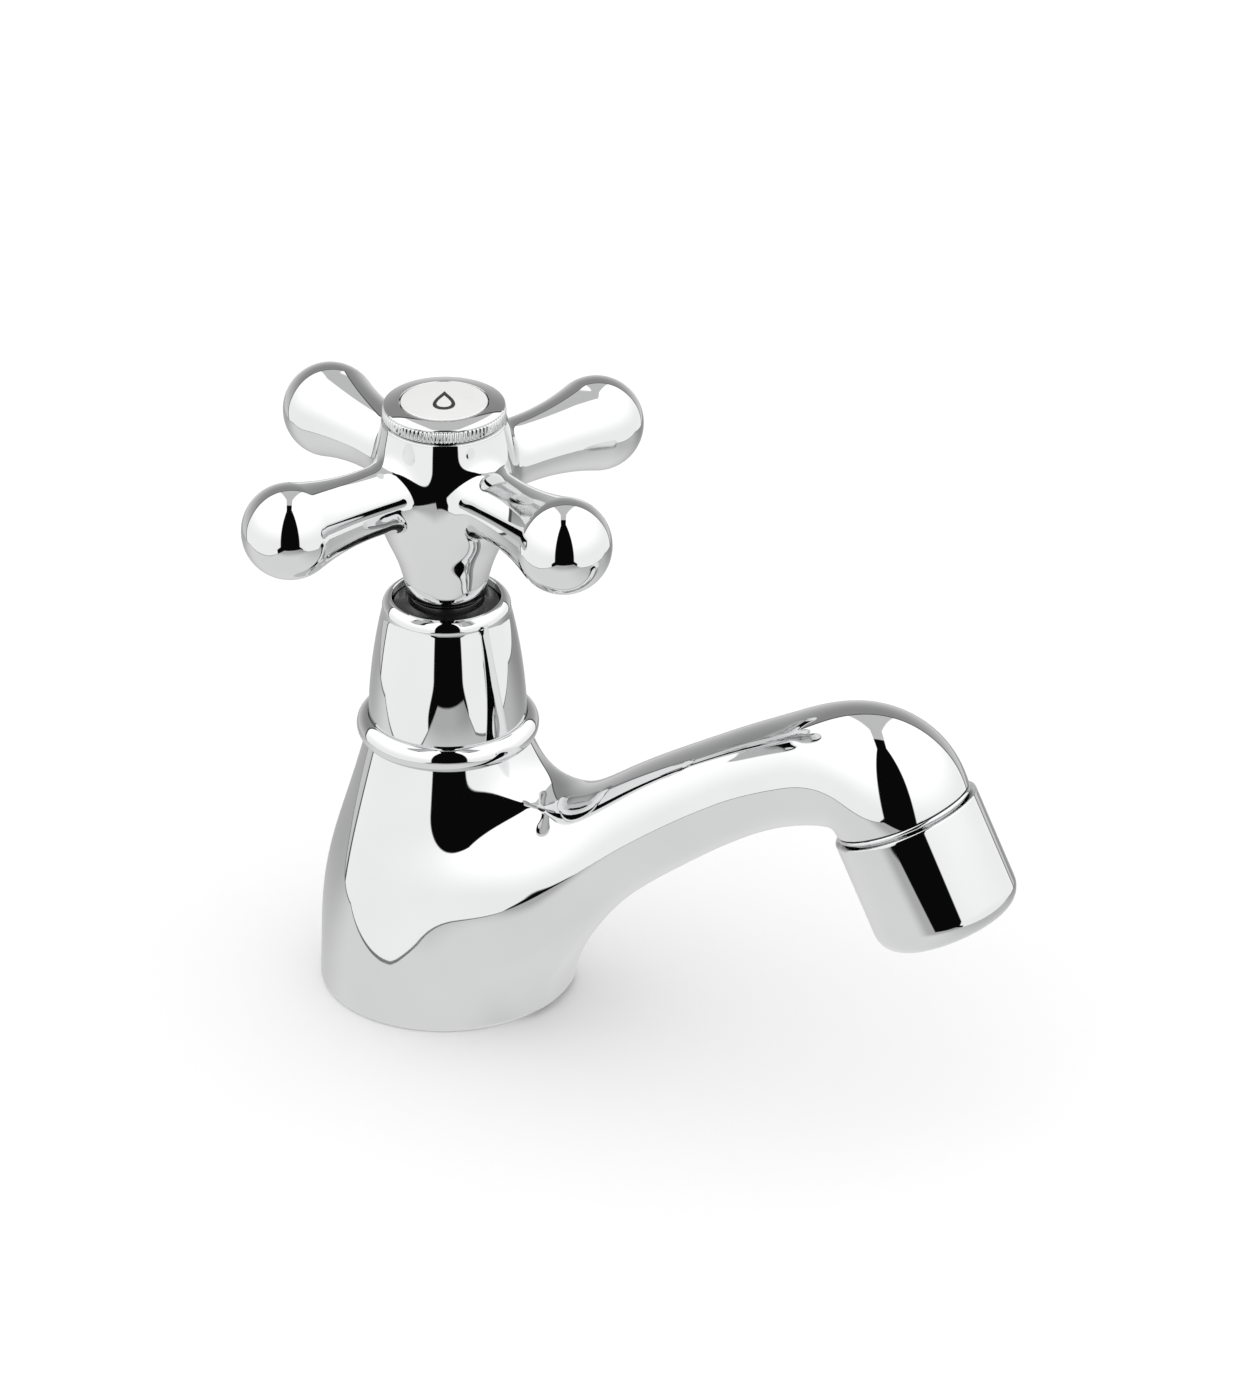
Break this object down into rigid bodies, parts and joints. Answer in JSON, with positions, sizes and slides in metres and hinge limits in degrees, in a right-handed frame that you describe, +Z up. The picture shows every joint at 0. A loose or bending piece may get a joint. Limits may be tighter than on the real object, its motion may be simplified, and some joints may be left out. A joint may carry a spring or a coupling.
{
  "type": "cross handle tap",
  "caption": "Chromed deck-mounted pillar tap with a four-arm cross handle that turns a quarter turn, a bell shroud, a curved spout and an aerator.",
  "frame": {"origin": "on the deck plane, on the valve's axis, at the middle of the inlet socket's mouth", "axes": "+Z up along the valve's axis, +X along the spout"},
  "size_m": [0.1357, 0.071, 0.1045],
  "materials": {
    "chrome": "polished chromium plate on brass",
    "enamel": "glossy white",
    "brass": "machined",
    "steel": "stainless",
    "ceramic": "lapped alumina",
    "rubber": "black rubber",
    "white_plastic": "moulded acetal",
    "black_plastic": "moulded"
  },
  "bodies": {
    "tap": {"tap_body": "chrome", "shroud": "chrome", "shroud_o_ring": "rubber", "dust_ring": "black_plastic", "headwork_housing": "brass", "headwork_gasket": "rubber", "fixed_disc": "ceramic", "seat_seal": "rubber", "seal_support_ring": "white_plastic", "aerator_housing": "chrome", "aerator_gasket": "rubber", "aerator_strainer": "steel", "aerator_jet_plate": "white_plastic", "aerator_mixer": "white_plastic", "aerator_screen": "white_plastic", "base_gasket": "rubber"},
    "handle": {"cross_handle": "chrome", "index_cap": "chrome", "index_disc": "enamel", "handle_screw": "steel", "screw_washer": "steel", "spline_insert": "white_plastic", "spindle": "brass", "stem_o_ring_upper": "rubber", "stem_o_ring_lower": "rubber", "spindle_circlip": "steel", "thrust_washer": "white_plastic", "turning_disc": "ceramic"}
  },
  "joints": [
    {"name": "handle_turn", "type": "hinge", "parent": "tap", "child": "handle", "pos_m": [0, 0, 0.09107], "axis": [0, 0, 1], "range_deg": [0, 90]}
  ]
}
